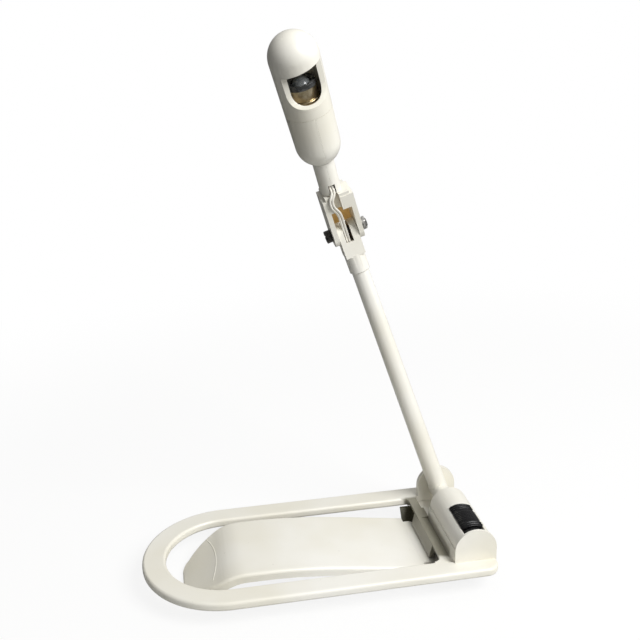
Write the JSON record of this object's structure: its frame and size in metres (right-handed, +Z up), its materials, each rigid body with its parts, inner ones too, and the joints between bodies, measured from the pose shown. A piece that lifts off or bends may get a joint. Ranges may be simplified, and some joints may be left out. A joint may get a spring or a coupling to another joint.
{
  "type": "clip-on book light",
  "caption": "Clip-on book light: flat loop base with a sprung clip leaf, folding arm, clevis knuckle and a capsule head whose turning hood shades a small lens bulb.",
  "frame": {"origin": "on the surface the light stands on, straight below the middle of the hinge axis", "axes": "+Z up, -X from the hinge towards the loop's round end, +Y along the hinge axis towards the arm's side"},
  "size_m": [0.127, 0.0624, 0.1952],
  "materials": {
    "ivory_plastic": "moulded gloss, slightly aged",
    "black_plastic": "satin",
    "wire_pvc": "satin",
    "brass": "rolled",
    "steel": "plain",
    "black_steel": "blackened",
    "grey_cement": "matte",
    "glass": "clear"
  },
  "bodies": {
    "base": {"base_frame": "ivory_plastic", "lower_housing": "black_plastic", "housing_screw_near": "steel", "housing_screw_far": "steel", "housing_cover": "ivory_plastic", "axle_bush": "brass", "axle_pin": "steel", "friction_washer": "black_plastic", "switch_liner": "black_plastic", "switch_body": "black_plastic", "switch_terminals": "brass", "power_jack": "black_plastic", "jack_lead": "wire_pvc", "base_lead": "wire_pvc", "leaf_pin": "steel"},
    "leaf": {"clip_leaf": "ivory_plastic"},
    "button": {"switch_slider": "black_plastic"},
    "arm": {"arm_hub": "ivory_plastic", "arm_tube": "ivory_plastic", "lower_knuckle": "ivory_plastic", "arm_lead": "wire_pvc", "knuckle_lead": "wire_pvc", "knuckle_screw": "black_steel", "knuckle_nut": "steel"},
    "head": {"upper_knuckle": "ivory_plastic", "head_shell_left": "ivory_plastic", "head_shell_right": "ivory_plastic", "lamp_holder": "black_plastic", "socket_sleeve": "brass", "centre_contact": "brass", "bulb_base": "brass", "bulb_ring": "grey_cement", "bulb_glass": "glass", "bulb_filament": "steel", "head_lead": "wire_pvc"},
    "hood": {"hood": "ivory_plastic"}
  },
  "joints": [
    {"name": "arm_fold", "type": "hinge", "parent": "base", "child": "arm", "pos_m": [0, 0, 0.0155], "axis": [0, -1, 0], "range_deg": [-60, 67]},
    {"name": "head_tilt", "type": "hinge", "parent": "arm", "child": "head", "pos_m": [-0.03706, 0.0192, 0.12563], "axis": [0.9478, 0, 0.319], "range_deg": [-60, 81], "deforming": ["knuckle_lead"]},
    {"name": "hood_turn", "type": "hinge", "parent": "head", "child": "hood", "pos_m": [-0.05197, 0.00309, 0.16999], "axis": [-0.2783, -0.3255, 0.9037], "range_deg": [-90, 90]},
    {"name": "switch_slide", "type": "slide", "parent": "base", "child": "button", "axis": [0, -1, 0], "range_m": [0, 0.0028]},
    {"name": "leaf_press", "type": "hinge", "parent": "base", "child": "leaf", "pos_m": [-0.0095, 0, 0.0028], "axis": [0, -1, 0], "range_deg": [0, 5], "stiffness_Nm_per_rad": 0.6, "springref_deg": -2.86}
  ]
}
